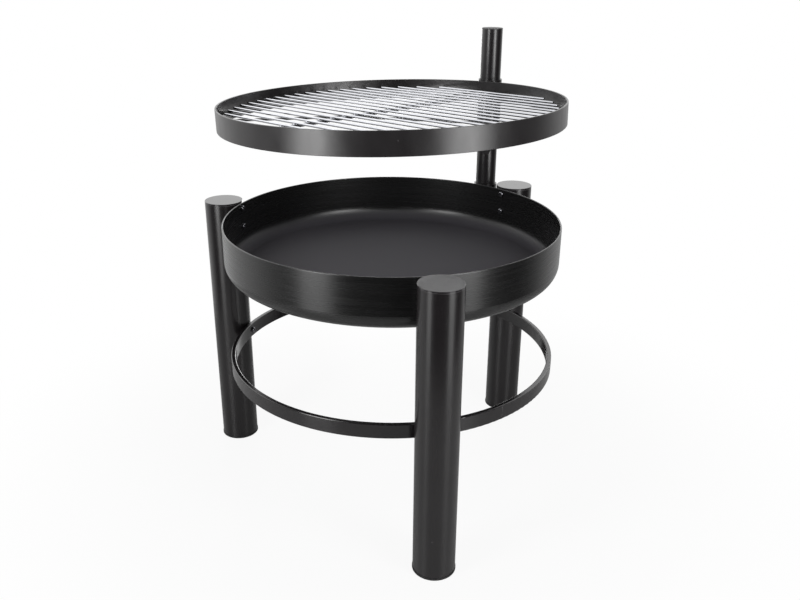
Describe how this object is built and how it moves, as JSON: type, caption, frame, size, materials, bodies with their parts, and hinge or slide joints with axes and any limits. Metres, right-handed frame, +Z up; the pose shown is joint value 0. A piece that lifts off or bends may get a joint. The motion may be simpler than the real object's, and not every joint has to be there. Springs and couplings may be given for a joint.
{
  "type": "fire pit with swivel grate",
  "caption": "Round steel fire bowl between tube legs with a low bracing ring; a wire cooking grate in a rim swings and lifts on a mast beside one leg.",
  "frame": {"origin": "on the ground, under the middle of the part's outline seen from above; the bowl's axis is 33.0 mm behind it", "axes": "+Z up; -Y towards the front leg; +X towards the leg that has the mast beside it"},
  "size_m": [0.6488, 0.672, 0.8],
  "materials": {
    "black_paint": "satin heat-resistant black paint on steel",
    "bowl_paint": "satin heat-resistant black paint on pressed steel",
    "black_plastic": "moulded black polyethylene",
    "blackened_screws": "blackened steel with bright edges",
    "zinc_plated_steel": "zinc plate",
    "chromed_wire": "bright chrome plate on drawn wire"
  },
  "bodies": {
    "standing_frame": {"front_leg": "black_paint", "front_leg_cap": "black_paint", "front_foot_cap": "black_plastic", "right_leg": "black_paint", "right_leg_cap": "black_paint", "right_foot_cap": "black_plastic", "left_leg": "black_paint", "left_leg_cap": "black_paint", "left_foot_cap": "black_plastic", "fire_bowl": "bowl_paint", "bowl_screws": "blackened_screws", "bowl_rivet_nuts": "zinc_plated_steel", "lower_ring": "black_paint", "ring_screws": "blackened_screws", "ring_rivet_nuts": "zinc_plated_steel", "mast_socket": "black_paint", "socket_floor": "black_paint", "socket_web": "black_paint"},
    "mast": {"mast": "black_paint", "mast_cap": "black_plastic", "stop_bolt": "black_paint", "stop_nut": "black_paint"},
    "grate_frame": {"grate_rim": "black_paint", "grate_sleeve": "black_paint", "grate_carrier_arm": "black_paint", "grate_carrier_left": "black_paint", "grate_carrier_right": "black_paint", "rim_tabs": "black_paint"},
    "wire_grate": {"grate_wire_01": "chromed_wire", "grate_wire_02": "chromed_wire", "grate_wire_03": "chromed_wire", "grate_wire_04": "chromed_wire", "grate_wire_05": "chromed_wire", "grate_wire_06": "chromed_wire", "grate_wire_07": "chromed_wire", "grate_wire_08": "chromed_wire", "grate_wire_09": "chromed_wire", "grate_wire_10": "chromed_wire", "grate_wire_11": "chromed_wire", "grate_wire_12": "chromed_wire", "grate_wire_13": "chromed_wire", "grate_wire_14": "chromed_wire", "grate_wire_15": "chromed_wire", "grate_wire_16": "chromed_wire", "grate_wire_17": "chromed_wire", "grate_wire_18": "chromed_wire", "grate_wire_19": "chromed_wire", "grate_wire_20": "chromed_wire", "grate_wire_21": "chromed_wire", "grate_cross_rod": "chromed_wire"}
  },
  "joints": [
    {"name": "mast_swivel", "type": "hinge", "parent": "standing_frame", "child": "mast", "pos_m": [0.24301, 0.24655, 0.495], "axis": [0, 0, 1], "continuous": true},
    {"name": "grate_lift", "type": "slide", "parent": "mast", "child": "grate_frame", "axis": [0, 0, 1], "range_m": [0, 0.095]},
    {"name": "wire_grate_lift_out", "type": "slide", "parent": "grate_frame", "child": "wire_grate", "axis": [0, 0, 1], "range_m": [0, 0.06]}
  ]
}
